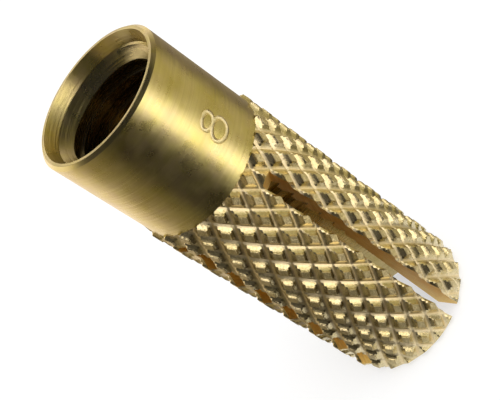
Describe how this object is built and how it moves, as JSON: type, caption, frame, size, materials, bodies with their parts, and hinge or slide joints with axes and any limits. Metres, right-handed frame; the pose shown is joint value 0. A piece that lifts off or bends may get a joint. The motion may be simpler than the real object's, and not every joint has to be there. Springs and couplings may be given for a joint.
{
  "type": "brass expansion anchor",
  "caption": "Knurled brass expansion anchor: plain collar with a tapped mouth, diamond-knurled shank, saw slots in the tail that let the leaves spread.",
  "frame": {"origin": "centre of the slotted tail's end face, which the anchor stands on", "axes": "+Z along the anchor's axis, out of the mouth of its bore; one slot faces -Y"},
  "size_m": [0.01, 0.01, 0.028],
  "materials": {
    "brass": "turned, bright, with fine tool marks"
  },
  "bodies": {
    "root": {"anchor_body": "brass"}
  },
  "joints": []
}
